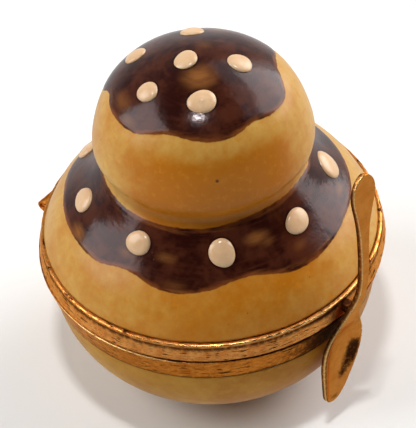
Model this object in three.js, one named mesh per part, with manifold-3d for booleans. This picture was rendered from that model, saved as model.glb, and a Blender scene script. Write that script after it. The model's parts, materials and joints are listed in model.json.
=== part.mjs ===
// A hand-painted porcelain keepsake box in the form of a two-tier cream puff (a profiterole with a
// smaller one on top). A brass bezel rims the bowl and another rims the lid, a barrel hinge joins
// them at the back, and a spoon-shaped brass clasp stands at the front.
// Millimetres, +Z up. The origin is the centre of the flat foot, the clasp faces -Y and the hinge
// runs along X at +Y.
import * as THREE from "three";
import { mergeVertices } from "three/addons/utils/BufferGeometryUtils.js";
import Module from "manifold-3d";

const wasm = await Module();
wasm.setup();

// ---- driving dimensions ----
const LIP_RADIUS = 26; // the widest circle, where the two bezels meet
const SPLIT_HEIGHT = 21.8; // that circle's height above the foot
const PORCELAIN_WALL = 2.8;
const SEGMENTS = 48;
const HALF_GAP = 0.15; // each bezel's distance from the split
const FIT_GAP = 0.3; // porcelain to brass

const BEZEL = { flange: 0.5, flangeInner: 21.7 };
const LID_BEZEL = { lowRadius: 25.9, topRadius: 25.3, height: 2.3, inner: 24.8, bead: 0.42 };
const BASE_BEZEL = { topRadius: LIP_RADIUS, lowRadius: 24.75, depth: 4.7, inner: 24.2 };

// The lid's outside as [radius, height above the split], from the crown down to the bezel.
const CROWN = [0, 33.5];
const BALL_SHOULDER = [12.7, 28.2];
const BALL_WAIST_HIGH = [15.5, 22];
const BALL_WAIST_LOW = [15.5, 18.6];
const NECK = [14.2, 16.5];
const CREASE = [15, 14.9];
const COLLAR = [18.2, 11.1];
const DOME_SHOULDER = [22.4, 7.1];
const LID_EDGE = [24.75, 3.1];
const LID_OUTLINE = [
  CROWN, [7.3, 31.8], BALL_SHOULDER, BALL_WAIST_HIGH, BALL_WAIST_LOW,
  NECK, CREASE, COLLAR, DOME_SHOULDER, LID_EDGE,
];
const LID_STEPS = 34;
const LID_INNER_STEPS = 18;

const BOWL = { radius: 24.5, depth: 19.5, steps: 12, floor: 3 };

// Enamel dots, as azimuth in degrees and height above the split, then radius.
const DOT_RISE = 0.75;
const DOT_SINK = 0.5;
const BALL_DOTS = [
  [45, 31.5, 1.75], [102, 30.5, 1.75], [145, 33.4, 1.85],
  [304, 32.4, 1.8], [162, 31.3, 1.65], [223, 31.6, 2.15],
];
const COLLAR_DOTS = [
  [7, 11.2, 1.85], [55, 10.4, 1.8], [103, 9.6, 1.8], [141, 11.3, 1.85],
  [185, 12.3, 1.9], [226, 12.4, 2.15], [267, 12.4, 1.95], [311, 12, 1.95],
];

// The barrel lies in a notch of the base bezel, drop below the split.
const HINGE = {
  axisY: 25.35, drop: 1.1, barrelRadius: 0.95, boreRadius: 0.6, pinRadius: 0.4,
  halfLength: 10.2, knuckles: 5, endPlay: 0.2, clearance: 0.3,
};
const AXIS_HEIGHT = SPLIT_HEIGHT - HINGE.drop;
const WEB_ROOT = 0.2; // how far into a bezel's metal a knuckle's web reaches

// The clasp's outer face as [distance from the box's axis, way along the clasp from the split].
const SPOON_TOP = 25.3;
const SPOON_LINE = [
  [25.8, -16.9], [26.4, -10], [26.6, -5], [26.95, -1.5], [27.8, 2], [28.6, 5],
  [28.7, 9], [28, 14], [27.2, 19.5], [26.6, SPOON_TOP],
];
// Its half width by the way along it: tip, egg-shaped bowl, thin shank and rounded head.
const SPOON_WIDTHS = [
  [-16.9, 0.3], [-16.6, 0.95], [-15.9, 1.55], [-14.5, 2.15], [-12.5, 2.75], [-10.2, 3.3], [-8, 3.75], [-5.8, 3.75],
  [-3.6, 3.2], [-2, 2.4], [-0.6, 1.65], [0.8, 1.2], [2.4, 0.85], [4.5, 0.6], [9, 0.62], [14, 0.75],
  [16.5, 1], [19, 1.45], [21, 1.85], [22.8, 1.85], [24, 1.45], [24.9, 0.95], [SPOON_TOP, 0.3],
];
const SPOON = {
  azimuth: -2, lean: 9, offset: -1.3, turn: 5, rows: 40, across: 6,
  bowlThickness: 0.65, handleThickness: 0.95, thickens: [0, 5],
  hollowCentre: -9, hollowHalfLength: 7.3, hollowDepth: 1.1,
};
const LUG = { width: 2.2, low: 0.5, high: 3.1, inner: 26.1, outer: 27.5 };

const radians = THREE.MathUtils.degToRad;

// ---- curves ----

// A cubic spline through the points, level at its first point and free at its last.
function splineThrough(points, count) {
  const n = points.length;
  const at = [0];
  for (let i = 1; i < n; i++) {
    at.push(at[i - 1] + Math.hypot(points[i][0] - points[i - 1][0], points[i][1] - points[i - 1][1]));
  }
  const bends = [0, 1].map((axis) => splineBends(at, points.map((p) => p[axis]), axis === 0 ? 1 : 0));
  return Array.from({ length: count + 1 }, (_, k) => {
    const t = (at[n - 1] * k) / count;
    let i = 0;
    while (i < n - 2 && t > at[i + 1]) i++;
    const h = at[i + 1] - at[i];
    const a = (at[i + 1] - t) / h;
    const b = (t - at[i]) / h;
    const value = (axis) =>
      a * points[i][axis] + b * points[i + 1][axis] +
      (((a ** 3 - a) * bends[axis][i] + (b ** 3 - b) * bends[axis][i + 1]) * h * h) / 6;
    return [value(0), value(1)];
  });
}

// The second derivatives of a spline whose first slope is given.
function splineBends(at, values, firstSlope) {
  const n = at.length;
  const upper = new Array(n).fill(0);
  const bend = new Array(n).fill(0);
  const first = at[1] - at[0];
  upper[0] = 0.5;
  bend[0] = (3 / first) * ((values[1] - values[0]) / first - firstSlope);
  for (let i = 1; i < n - 1; i++) {
    const left = at[i] - at[i - 1];
    const right = at[i + 1] - at[i];
    const slopeChange = (values[i + 1] - values[i]) / right - (values[i] - values[i - 1]) / left;
    const pivot = 2 * (left + right) - left * upper[i - 1];
    upper[i] = right / pivot;
    bend[i] = (6 * slopeChange - left * bend[i - 1]) / pivot;
  }
  bend[n - 1] = 0;
  for (let i = n - 2; i >= 0; i--) bend[i] -= upper[i] * bend[i + 1];
  return bend;
}

// The same outline moved in by the wall, along its normals.
function offsetInward(outline, wall) {
  return outline.map(([r, z], i) => {
    const before = outline[Math.max(i - 1, 0)];
    const after = outline[Math.min(i + 1, outline.length - 1)];
    const along = [after[0] - before[0], after[1] - before[1]];
    const length = Math.hypot(...along);
    if (i === 0) return [0, z - wall];
    return [r + (along[1] / length) * wall, z - (along[0] / length) * wall];
  });
}

// ---- solids ----

const solidOf = (geometry) => {
  const bare = geometry.clone();
  bare.deleteAttribute("normal");
  bare.deleteAttribute("uv");
  const merged = mergeVertices(bare, 1e-4);
  return new wasm.Manifold(new wasm.Mesh({
    numProp: 3,
    vertProperties: new Float32Array(merged.attributes.position.array),
    triVerts: new Uint32Array(merged.index.array),
  }));
};

const geometryOf = (solid) => {
  const mesh = solid.getMesh();
  const geometry = new THREE.BufferGeometry();
  geometry.setAttribute("position", new THREE.BufferAttribute(new Float32Array(mesh.vertProperties), 3));
  geometry.setIndex(new THREE.BufferAttribute(new Uint32Array(mesh.triVerts), 1));
  geometry.computeVertexNormals();
  return geometry;
};

// Turns a profile of [radius, height above the split] about the Z axis.
function turned(profile) {
  const points = profile.map(([r, z]) => new THREE.Vector2(r, z + SPLIT_HEIGHT));
  const geometry = new THREE.LatheGeometry(points, SEGMENTS);
  geometry.rotateX(Math.PI / 2);
  return geometry;
}

function bar(radius, length, x) {
  const geometry = new THREE.CylinderGeometry(radius, radius, length, 16);
  geometry.rotateZ(Math.PI / 2);
  geometry.translate(x, HINGE.axisY, AXIS_HEIGHT);
  return geometry;
}

function block([x0, y0, z0], [x1, y1, z1]) {
  const geometry = new THREE.BoxGeometry(x1 - x0, y1 - y0, z1 - z0);
  geometry.translate((x0 + x1) / 2, (y0 + y1) / 2, (z0 + z1) / 2);
  return geometry;
}

// ---- porcelain ----

const lidOutside = splineThrough(LID_OUTLINE, LID_STEPS);

function radiusAt(height) {
  const i = lidOutside.findIndex(([, z]) => z <= height);
  const [r0, z0] = lidOutside[i - 1];
  const [r1, z1] = lidOutside[i];
  return r0 + ((r1 - r0) * (z0 - height)) / (z0 - z1);
}

// One flattened bead of enamel, lying along the lid's slope at its height.
function enamelDot([azimuth, height, radius]) {
  const bead = new THREE.SphereGeometry(1, 12, 8);
  bead.rotateX(Math.PI / 2);
  bead.scale(radius, radius, DOT_RISE + DOT_SINK);
  bead.translate(0, 0, -DOT_SINK);
  const reach = 0.5;
  const low = Math.min(height, CROWN[1] - 2 * reach) - reach;
  bead.rotateY(Math.atan2(2 * reach, radiusAt(low) - radiusAt(low + 2 * reach)));
  bead.translate(radiusAt(height), 0, height + SPLIT_HEIGHT);
  bead.rotateZ(radians(azimuth));
  return bead;
}

function lidShell() {
  const inside = offsetInward(splineThrough(LID_OUTLINE, LID_INNER_STEPS), PORCELAIN_WALL).slice(0, -1);
  const rimRadius = LID_BEZEL.inner - FIT_GAP;
  const rimInner = LID_EDGE[0] - PORCELAIN_WALL;
  const rimLow = HALF_GAP + BEZEL.flange + FIT_GAP;
  const profile = [
    ...lidOutside,
    [rimRadius, LID_EDGE[1]],
    [rimRadius, rimLow],
    [rimInner, rimLow],
    ...inside.reverse(),
  ];
  const dots = [...BALL_DOTS, ...COLLAR_DOTS].map(enamelDot);
  return geometryOf(dots.reduce((lid, dot) => lid.add(solidOf(dot)), solidOf(turned(profile.reverse()))));
}

// The bowl's outside is an ellipse that the flat foot cuts.
function bowlCurve(radius, depth, low, steps) {
  const top = -BASE_BEZEL.depth - FIT_GAP;
  const last = Math.asin((top - low) / depth);
  return Array.from({ length: steps + 1 }, (_, k) => {
    const angle = last * (1 - k / steps);
    return [radius * Math.cos(angle), top - depth * Math.sin(angle)];
  });
}

function baseBowl() {
  const top = -BASE_BEZEL.depth - FIT_GAP;
  const rimRadius = BASE_BEZEL.inner - FIT_GAP;
  const rimInner = BOWL.radius - PORCELAIN_WALL;
  const rimHigh = -(HALF_GAP + BEZEL.flange + FIT_GAP);
  const outside = bowlCurve(BOWL.radius, BOWL.depth, -SPLIT_HEIGHT, BOWL.steps);
  const inside = bowlCurve(rimInner, BOWL.depth - PORCELAIN_WALL, -SPLIT_HEIGHT + BOWL.floor, BOWL.steps - 4);
  return turned([
    [0, -SPLIT_HEIGHT],
    ...outside,
    [rimRadius, top],
    [rimRadius, rimHigh],
    [rimInner, rimHigh],
    ...inside.reverse(),
    [0, -SPLIT_HEIGHT + BOWL.floor],
  ]);
}

// ---- brass ----

function knuckleSpan(index) {
  const pitch = (2 * HINGE.halfLength) / HINGE.knuckles;
  const middle = -HINGE.halfLength + pitch * (index + 0.5);
  return [middle, pitch - HINGE.endPlay];
}

// Adds a bezel's own knuckles, each with the web that joins it to the ring, and bores them.
function withKnuckles(ring, own, webOf) {
  let solid = ring;
  for (let i = own; i < HINGE.knuckles; i += 2) {
    const [x, length] = knuckleSpan(i);
    solid = solid.add(solidOf(bar(HINGE.barrelRadius, length, x)));
    solid = solid.add(webOf(x - length / 2, x + length / 2));
  }
  return geometryOf(solid.subtract(solidOf(bar(HINGE.boreRadius, 2 * HINGE.halfLength + 2, 0))));
}

// A web that hangs from the lid bezel's flange.
function lidWeb(left, right) {
  const top = SPLIT_HEIGHT + HALF_GAP + WEB_ROOT;
  return solidOf(block([left, HINGE.axisY - HINGE.barrelRadius, AXIS_HEIGHT], [right, HINGE.axisY, top]));
}

// A web that stands out from the base bezel's wall.
function baseWeb(left, right) {
  const root = BASE_BEZEL.inner + WEB_ROOT;
  const inside = new THREE.CylinderGeometry(root, root, LIP_RADIUS, SEGMENTS);
  inside.rotateX(Math.PI / 2);
  inside.translate(0, 0, SPLIT_HEIGHT);
  const low = AXIS_HEIGHT - HINGE.barrelRadius;
  return solidOf(block([left, 0, low], [right, HINGE.axisY, AXIS_HEIGHT])).subtract(solidOf(inside));
}

// The room for the barrel, open to the top and the back.
function hingeNotch() {
  const room = HINGE.barrelRadius + HINGE.clearance;
  const half = HINGE.halfLength + HINGE.clearance;
  const open = block([-half, HINGE.axisY - room, AXIS_HEIGHT], [half, LIP_RADIUS + 1, SPLIT_HEIGHT]);
  return solidOf(bar(room, 2 * half, 0)).add(solidOf(open));
}

function lidBezel() {
  const b = LID_BEZEL;
  const beadCentre = [b.topRadius - b.bead * 0.35, b.height];
  const bead = Array.from({ length: 7 }, (_, k) => {
    const angle = radians(-30 + 35 * k);
    return [beadCentre[0] + b.bead * Math.cos(angle), beadCentre[1] + b.bead * Math.sin(angle)];
  });
  const ring = turned([
    [BEZEL.flangeInner, HALF_GAP],
    [b.lowRadius, HALF_GAP],
    [b.topRadius, b.height - b.bead],
    ...bead.filter(([r]) => r > b.inner),
    [b.inner, b.height],
    [b.inner, HALF_GAP + BEZEL.flange],
    [BEZEL.flangeInner, HALF_GAP + BEZEL.flange],
    [BEZEL.flangeInner, HALF_GAP],
  ]);
  return withKnuckles(solidOf(ring), 1, lidWeb);
}

function baseBezel() {
  const b = BASE_BEZEL;
  const ring = turned([
    [BEZEL.flangeInner, -HALF_GAP],
    [BEZEL.flangeInner, -HALF_GAP - BEZEL.flange],
    [b.inner, -HALF_GAP - BEZEL.flange],
    [b.inner, -b.depth],
    [b.lowRadius, -b.depth],
    [b.topRadius, -HALF_GAP - 0.35],
    [b.topRadius - 0.15, -HALF_GAP],
    [BEZEL.flangeInner, -HALF_GAP],
  ]);
  return withKnuckles(solidOf(ring).subtract(hingeNotch()), 0, baseWeb);
}

const hingePin = () => bar(HINGE.pinRadius, 2 * HINGE.halfLength - 0.4, 0);

// ---- the spoon clasp ----

const softStep = (value, [start, end]) => THREE.MathUtils.smoothstep(value, start, end);

// Reads a table of [way along, value] between its rows.
function valueAt(table, along) {
  const i = Math.max(1, table.findIndex(([t]) => t >= along));
  const [t0, v0] = table[i - 1];
  const [t1, v1] = table[i];
  return v0 + ((v1 - v0) * (along - t0)) / (t1 - t0);
}

function spoonHollow(along) {
  const s = SPOON;
  return s.hollowDepth * Math.max(0, 1 - ((along - s.hollowCentre) / s.hollowHalfLength) ** 2);
}

// Two faces, outer and inner, each a grid along and across the spoon, closed by their shared rim.
function spoonPlate() {
  const s = SPOON;
  const lean = radians(s.lean);
  const line = splineThrough(SPOON_LINE, s.rows).map(([reach, along]) => [reach, Math.min(along, SPOON_TOP)]);
  const columns = s.across + 1;
  const positions = [];
  for (const face of [0, 1]) {
    for (const [reach, along] of line) {
      const half = valueAt(SPOON_WIDTHS, along);
      const thickness = THREE.MathUtils.lerp(s.bowlThickness, s.handleThickness, softStep(along, s.thickens));
      for (let j = 0; j < columns; j++) {
        const across = (2 * j) / s.across - 1;
        const inward = spoonHollow(along) * (1 - across ** 2) + face * thickness;
        const side = s.offset + along * Math.sin(lean) + half * across * Math.cos(lean);
        const height = along * Math.cos(lean) - half * across * Math.sin(lean);
        const out = reach - inward + half * across * Math.sin(radians(s.turn));
        positions.push(side, -out, height + SPLIT_HEIGHT);
      }
    }
  }
  const rows = line.length;
  const at = (face, i, j) => face * rows * columns + i * columns + j;
  const triangles = [];
  const quad = (a, b, c, d) => triangles.push(a, b, c, a, c, d);
  for (let i = 0; i < rows - 1; i++) {
    for (let j = 0; j < columns - 1; j++) {
      quad(at(0, i, j), at(0, i, j + 1), at(0, i + 1, j + 1), at(0, i + 1, j));
      quad(at(1, i, j), at(1, i + 1, j), at(1, i + 1, j + 1), at(1, i, j + 1));
    }
    quad(at(0, i, 0), at(0, i + 1, 0), at(1, i + 1, 0), at(1, i, 0));
    quad(at(0, i, columns - 1), at(1, i, columns - 1), at(1, i + 1, columns - 1), at(0, i + 1, columns - 1));
  }
  for (let j = 0; j < columns - 1; j++) {
    quad(at(0, 0, j), at(1, 0, j), at(1, 0, j + 1), at(0, 0, j + 1));
    quad(at(0, rows - 1, j), at(0, rows - 1, j + 1), at(1, rows - 1, j + 1), at(1, rows - 1, j));
  }
  const geometry = new THREE.BufferGeometry();
  geometry.setAttribute("position", new THREE.Float32BufferAttribute(positions, 3));
  geometry.setIndex(triangles);
  return geometry;
}

function spoonClasp() {
  const middle = SPOON.offset;
  const lug = block(
    [middle - LUG.width / 2, -LUG.outer, SPLIT_HEIGHT + LUG.low],
    [middle + LUG.width / 2, -LUG.inner, SPLIT_HEIGHT + LUG.high],
  );
  const geometry = geometryOf(solidOf(spoonPlate()).add(solidOf(lug)));
  geometry.rotateZ(radians(SPOON.azimuth));
  return geometry;
}

// ---- the box ----

const glaze = (color) => new THREE.MeshStandardMaterial({ color, roughness: 0.2, metalness: 0 });
const brass = (color) => new THREE.MeshStandardMaterial({ color, roughness: 0.35, metalness: 1 });

function piece(name, geometry, material) {
  const mesh = new THREE.Mesh(geometry, material);
  mesh.name = name;
  return mesh;
}

const base = new THREE.Group();
base.add(piece("base_bowl", baseBowl(), glaze(0xb98f4a)));
base.add(piece("base_bezel", baseBezel(), brass(0xb07a3c)));
base.add(piece("hinge_pin", hingePin(), brass(0x8f6430)));

const lid = new THREE.Group();
lid.add(piece("lid_shell", lidShell(), glaze(0xc8963f)));
lid.add(piece("lid_bezel", lidBezel(), brass(0xb07a3c)));
lid.add(piece("spoon_clasp", spoonClasp(), brass(0xb5793a)));

const box = new THREE.Group();
box.add(base, lid);
export default box;
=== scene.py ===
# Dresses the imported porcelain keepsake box: glazed lid with painted icing and enamel dots, glazed
# bowl, worn brass bezels with their hinge, and the spoon clasp.
import json
import math

import bpy
import numpy as np
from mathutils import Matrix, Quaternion, Vector


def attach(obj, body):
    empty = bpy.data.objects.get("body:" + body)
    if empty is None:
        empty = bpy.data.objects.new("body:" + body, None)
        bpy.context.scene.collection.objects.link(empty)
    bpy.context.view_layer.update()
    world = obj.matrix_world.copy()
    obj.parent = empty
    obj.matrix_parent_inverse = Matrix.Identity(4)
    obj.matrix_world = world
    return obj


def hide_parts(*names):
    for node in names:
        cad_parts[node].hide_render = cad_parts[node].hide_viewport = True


mm = 0.001
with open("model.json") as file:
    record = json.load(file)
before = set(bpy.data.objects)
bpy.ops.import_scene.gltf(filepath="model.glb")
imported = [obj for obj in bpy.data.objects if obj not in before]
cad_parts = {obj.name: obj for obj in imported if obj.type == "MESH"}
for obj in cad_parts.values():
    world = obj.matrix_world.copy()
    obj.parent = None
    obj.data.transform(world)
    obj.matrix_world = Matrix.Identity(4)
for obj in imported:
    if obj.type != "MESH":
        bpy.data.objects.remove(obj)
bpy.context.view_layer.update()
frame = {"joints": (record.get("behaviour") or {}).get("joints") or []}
bpy.ops.object.select_all(action="DESELECT")
hingeAt = frame["joints"][0]["pos_m"]
hingeBelowSplit = 1.1
split = hingeAt[2] / mm + hingeBelowSplit  # height in mm where the two bezels meet
print("frame loaded, split at", round(split, 2), "mm")


# ---- nodes ----


# Gives a node its inputs, as values or as other nodes' sockets.
def fillInputs(tree, node, inputs):
    for name, value in inputs.items():
        if isinstance(value, bpy.types.NodeSocket):
            tree.links.new(value, node.inputs[name])
        else:
            node.inputs[name].default_value = value


def addNode(tree, kind, inputs=None, **settings):
    node = tree.nodes.new(kind)
    for name, value in settings.items():
        setattr(node, name, value)
    fillInputs(tree, node, inputs or {})
    return node


def math2(tree, operation, first, second):
    return addNode(tree, "ShaderNodeMath", {0: first, 1: second}, operation=operation).outputs[0]


def between(tree, value, low, high, outLow=0.0, outHigh=1.0):
    rows = {"Value": value, "From Min": low, "From Max": high, "To Min": outLow, "To Max": outHigh}
    return addNode(tree, "ShaderNodeMapRange", rows, interpolation_type="SMOOTHSTEP").outputs["Result"]


def blend(tree, share, first, second):
    rows = {0: share, 6: first, 7: second}
    return addNode(tree, "ShaderNodeMix", rows, data_type="RGBA", clamp_factor=True).outputs[2]


def noiseIn(tree, coordinates, scale, detail=2.0, roughness=0.5):
    rows = {"Vector": coordinates, "Scale": scale, "Detail": detail, "Roughness": roughness}
    return addNode(tree, "ShaderNodeTexNoise", rows).outputs["Fac"]


def stretched(tree, coordinates, scale):
    return addNode(tree, "ShaderNodeMapping", {"Vector": coordinates, "Scale": scale}).outputs["Vector"]


# The values that a piece carries under this name.
def stored(tree, name):
    return addNode(tree, "ShaderNodeAttribute", attribute_name=name).outputs["Fac"]


# ---- camera and light ----

cameraView = {
    "azimuth": -48,
    "elevation": 44.2,
    "roll": -4.7,
    "distance": 260 * mm,
    "aimRight": -0.5 * mm,
    "aimUp": 2.55 * mm,
    "lens": 146.3,
}


def towards(azimuth, elevation):
    a = math.radians(azimuth)
    e = math.radians(elevation)
    return Vector((math.sin(a) * math.cos(e), -math.cos(a) * math.cos(e), math.sin(e)))


def placeCamera(view):
    back = towards(view["azimuth"], view["elevation"])
    turn = (-back).to_track_quat("-Z", "Y") @ Quaternion((0, 0, 1), math.radians(view["roll"]))
    right = turn @ Vector((1, 0, 0))
    up = turn @ Vector((0, 1, 0))
    aim = Vector((0, 0, split * mm)) + right * view["aimRight"] + up * view["aimUp"]
    data = bpy.data.cameras.new("photoCamera")
    data.lens = view["lens"]
    data.clip_start = 0.01
    camera = bpy.data.objects.new("photoCamera", data)
    bpy.context.scene.collection.objects.link(camera)
    camera.location = aim + back * view["distance"]
    camera.rotation_mode = "QUATERNION"
    camera.rotation_quaternion = turn
    bpy.context.scene.camera = camera


# Azimuth and elevation are where each lamp stands, as seen from the box.
lamps = {
    "leftSoftbox": {"azimuth": -138, "elevation": 36, "away": 0.6, "size": 0.4, "tall": 0.46, "power": 2.6},
    "rightSoftbox": {"azimuth": 70, "elevation": 27, "away": 0.6, "size": 0.46, "tall": 0.5, "power": 2.8},
    "rightHalo": {"azimuth": 72, "elevation": 38, "away": 0.66, "size": 0.68, "tall": 0.64, "power": 1.6},
    "overhead": {"azimuth": -58, "elevation": 80, "away": 0.7, "size": 0.07, "tall": 0.03, "power": 1.7},
}
# The room is dark in front of the box and pale behind it, and lighter low down than high up.
room = {
    "behind": 132,  # azimuth
    "sides": (0.1, 0.85),
    "front": {"fade": (0.2, -0.15), "high": 0.025, "low": 0.5},
    "back": {"fade": (0.5, -0.15), "high": 0.3, "low": 0.75},
    "floorSize": 6,
    "floorColor": (0.88, 0.88, 0.87, 1),
}


def placeLamps():
    for name, lamp in lamps.items():
        data = bpy.data.lights.new(name, "AREA")
        data.shape = "RECTANGLE"
        data.size = lamp["size"]
        data.size_y = lamp["tall"]
        data.energy = lamp["power"]
        light = bpy.data.objects.new(name, data)
        bpy.context.scene.collection.objects.link(light)
        out = towards(lamp["azimuth"], lamp["elevation"])
        light.location = Vector((0, 0, split * mm)) + out * lamp["away"]
        light.rotation_mode = "QUATERNION"
        light.rotation_quaternion = (-out).to_track_quat("-Z", "Y")


def paintRoom():
    world = bpy.data.worlds.new("room")
    world.use_nodes = True
    tree = world.node_tree
    looking = addNode(tree, "ShaderNodeTexCoord").outputs["Generated"]
    height = addNode(tree, "ShaderNodeSeparateXYZ", {0: looking}).outputs["Z"]
    rows = {0: looking, 1: towards(room["behind"], 0)}
    facing = addNode(tree, "ShaderNodeVectorMath", rows, operation="DOT_PRODUCT").outputs["Value"]
    front, back = (
        between(tree, height, *side["fade"], side["high"], side["low"])
        for side in (room["front"], room["back"])
    )
    strength = between(tree, facing, *room["sides"], front, back)
    fillInputs(tree, tree.nodes["Background"], {"Strength": strength, "Color": (1, 1, 1, 1)})
    bpy.context.scene.world = world


def layFloor():
    bpy.ops.mesh.primitive_plane_add(size=room["floorSize"])
    floor = bpy.context.object
    floor.name = "floor"
    paint = bpy.data.materials.new("paleFloor")
    paint.use_nodes = True
    shader = paint.node_tree.nodes["Principled BSDF"]
    rows = {"Base Color": room["floorColor"], "Roughness": 0.9, "Specular IOR Level": 0.2}
    fillInputs(paint.node_tree, shader, rows)
    floor.data.materials.append(paint)
    floor.visible_glossy = False  # the glaze and the brass mirror the room instead


placeCamera(cameraView)
placeLamps()
paintRoom()
layFloor()
bpy.context.scene.view_settings.view_transform = "Standard"
print("camera, lamps and floor placed")


# ---- shapes ----


# Even steps along a smooth curve through given points. It can leave its first point level.
def curveThrough(points, count, levelStart=False):
    at = np.array(points, float)
    along = np.concatenate([[0], np.cumsum(np.linalg.norm(np.diff(at, axis=0), axis=1))])
    gap = np.diff(along)
    slope = np.diff(at, axis=0) / gap[:, None]
    last = len(at) - 1
    system = np.eye(last + 1)
    bend = np.zeros_like(at)
    if levelStart:
        system[0, :2] = gap[0] / 3, gap[0] / 6
        bend[0] = slope[0] - (1, 0)
    for i in range(1, last):
        system[i, i - 1 : i + 2] = gap[i - 1] / 6, (gap[i - 1] + gap[i]) / 3, gap[i] / 6
        bend[i] = slope[i] - slope[i - 1]
    bend = np.linalg.solve(system, bend)
    t = np.linspace(0, along[-1], count + 1)
    i = np.clip(np.searchsorted(along, t) - 1, 0, last - 1)
    b = ((t - along[i]) / gap[i])[:, None]
    a = 1 - b
    h = gap[i][:, None]
    return a * at[i] + b * at[i + 1] + ((a**3 - a) * bend[i] + (b**3 - b) * bend[i + 1]) * h * h / 6


# The outline moved in by the wall.
def movedIn(outline, wall):
    along = np.gradient(outline, axis=0)
    along /= np.linalg.norm(along, axis=1)[:, None]
    inner = outline + wall * np.stack([along[:, 1], -along[:, 0]], axis=1)
    inner[0] = 0, outline[0][1] - wall
    return inner


# Walks an outline of (radius, height above the split) in mm, and spins it about the box's axis.
def turnOutline(name, outline, steps):
    bpy.ops.mesh.primitive_plane_add(size=mm)
    piece = bpy.context.object
    piece.name = name
    piece.data.name = name
    bpy.ops.object.mode_set(mode="EDIT")
    bpy.ops.mesh.merge(type="CENTER")
    points = [Vector((r, 0, z + split)) * mm for r, z in outline]
    bpy.ops.transform.translate(value=points[0])
    for start, end in zip(points, points[1:]):
        bpy.ops.mesh.extrude_region_move(TRANSFORM_OT_translate={"value": end - start})
    bpy.ops.mesh.select_all(action="SELECT")
    bpy.ops.mesh.spin(steps=steps, angle=math.tau, center=(0, 0, 0), axis=(0, 0, 1))
    bpy.ops.mesh.select_all(action="SELECT")
    bpy.ops.mesh.remove_doubles(threshold=0.002 * mm)
    bpy.ops.mesh.normals_make_consistent(inside=False)
    bpy.ops.object.mode_set(mode="OBJECT")
    bpy.ops.object.shade_smooth()
    return piece


# Presses soft unevenness of this size and depth, in mm, into a piece.
def unevenSurface(piece, size, depth):
    clouds = bpy.data.textures.new(piece.name + "Unevenness", "CLOUDS")
    clouds.noise_scale = size * mm
    clouds.noise_depth = 1
    dent = piece.modifiers.new("unevenness", "DISPLACE")
    dent.texture = clouds
    dent.strength = depth * mm
    dent.mid_level = 0.5
    bpy.context.view_layer.objects.active = piece
    bpy.ops.object.modifier_apply(modifier=dent.name)


def vertexPlaces(piece):
    places = np.zeros(len(piece.data.vertices) * 3)
    piece.data.vertices.foreach_get("co", places)
    return places.reshape(-1, 3) / mm - (0, 0, split)


def putVertices(piece, places):
    piece.data.vertices.foreach_set("co", ((places + (0, 0, split)) * mm).ravel())
    piece.data.update()


# Degrees from +X round the box's axis.
def azimuths(places):
    return np.degrees(np.arctan2(places[:, 1], places[:, 0])) % 360


def storeValues(piece, name, values):
    piece.data.attributes.new(name, "FLOAT", "POINT").data.foreach_set("value", values.astype(np.float32))


def softStep(value, start, end):
    t = np.clip((value - start) / (end - start), 0, 1)
    return t * t * (3 - 2 * t)


# 1 at the middle, and down to nothing on both sides.
def bell(value, middle, width, power=2):
    return np.exp(-(((value - middle) / width) ** power))


lid = {
    "outline": [
        (0, 33.5), (7.3, 31.8), (12.7, 28.2), (15.5, 22), (15.5, 18.6),
        (14.2, 16.5), (15, 14.9), (18.2, 11.1), (22.4, 7.1), (24.75, 2.95),
    ],
    "wall": 2.8,
    "rimRadius": 24.5,
    "rimLow": 0.95,
    "steps": 300,
    "dents": (9, 0.16),  # size and depth in mm
}
lidCurve = curveThrough(lid["outline"], 150, levelStart=True)
lidAlong = np.concatenate([[0], np.cumsum(np.linalg.norm(np.diff(lidCurve, axis=0), axis=1))])


def lidRadius(height):
    return np.interp(height, lidCurve[::-1, 1], lidCurve[::-1, 0])


def lidReach(height):
    return np.interp(height, lidCurve[::-1, 1], lidAlong[::-1])


# A place on the lid's outside, in mm above the split.
def onLid(azimuth, height):
    a = math.radians(azimuth)
    return np.array((lidRadius(height) * math.cos(a), lidRadius(height) * math.sin(a), height))


# Azimuth in degrees from +X and height above the split, all round the painted edges.
icing = {
    "capEdge": [
        (0, 28.3), (20, 28.4), (42, 29), (64, 28.3), (86, 28.7), (104, 27.4), (117, 26.3), (124, 27.2),
        (128, 28.1), (133, 28.5), (141, 28.2), (153, 28), (166, 28), (176, 28.2), (185, 28.7), (195, 29.2),
        (204, 29.2), (215, 28.9), (226, 28.6), (238, 28.6), (246, 28.8), (252, 29.1), (258, 29.2),
        (272, 28.8), (284, 28.6), (294, 28.7), (305, 29.4), (316, 29.8), (328, 29.5), (346, 28.1),
    ],
    "collarOuter": [
        (0, 9.4), (18, 8.5), (36, 8.9), (54, 9.5), (72, 8.4), (90, 8.8), (111, 7.9), (125, 8.3),
        (140, 8.4), (154, 8.5), (167, 8.6), (172, 8.7), (178, 9.2), (182, 9.4), (188, 9.4),
        (196, 8.8), (204, 8.5), (212, 8.6), (221, 9), (228, 9.5), (237, 9.7), (245, 9.2),
        (254, 8.5), (265, 8.4), (277, 8.6), (289, 8.8), (304, 8.7), (313, 8.8), (327, 8.8),
        (338, 9),
    ],
    "collarInner": [
        (0, 15.2), (40, 15.4), (80, 15.2), (128, 15.1), (150, 15.2), (180, 15.1), (224, 15.3),
        (240, 15.7), (260, 15.8), (280, 15.6), (300, 15.2), (330, 15.2),
    ],
    "relief": 0.07,
    "farthest": 5,  # mm from the edge that is still told apart
}


def edgeReach(edge, azimuth):
    around = [a for a, _ in edge]
    heights = [z for _, z in edge]
    smoothing = (-2, -1, 0, 1, 2)
    height = sum(np.interp(azimuth + s, around, heights, period=360) for s in smoothing)
    return lidReach(height / len(smoothing))


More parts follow.
